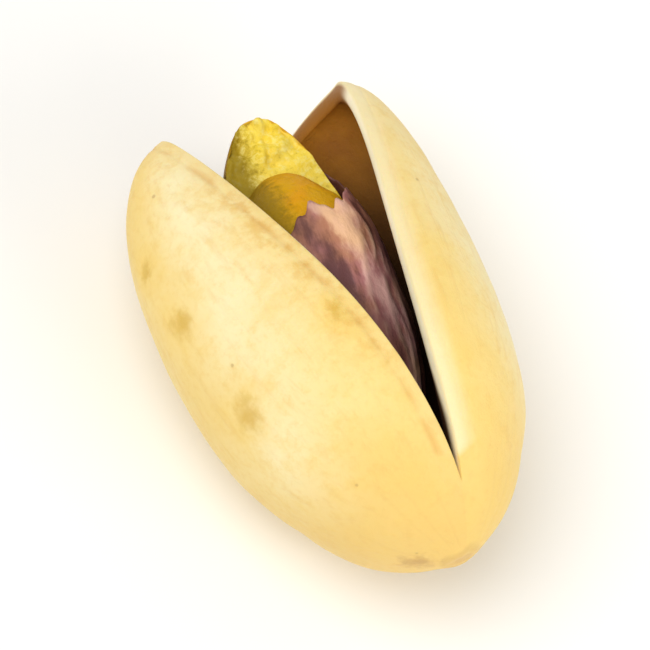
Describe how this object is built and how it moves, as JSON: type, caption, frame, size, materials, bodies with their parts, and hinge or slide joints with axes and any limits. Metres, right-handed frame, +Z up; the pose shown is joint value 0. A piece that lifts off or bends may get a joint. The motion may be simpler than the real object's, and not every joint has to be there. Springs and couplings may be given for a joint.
{
  "type": "pistachio in shell",
  "caption": "Ripe pistachio in its split shell, lying on its back: cream valves gaping from the tip, joined at the stem end, round a kernel in torn purple-brown skin.",
  "frame": {"origin": "middle of the nut's underside, on the surface that it lies on", "axes": "+Y along the nut from the stem end to the open tip, +Z up out of the split, +X across the valves"},
  "size_m": [0.013, 0.0204, 0.0119],
  "materials": {
    "shell": "smooth bony nutshell, satin, cream with faint tan smudges",
    "seed_coat": "thin wrinkled papery skin, purple brown",
    "cotyledon": "dense oily nut flesh, yellow green"
  },
  "bodies": {
    "root": {"shell": "shell", "seed_coat": "seed_coat", "cotyledon_upper": "cotyledon", "cotyledon_lower": "cotyledon"}
  },
  "joints": []
}
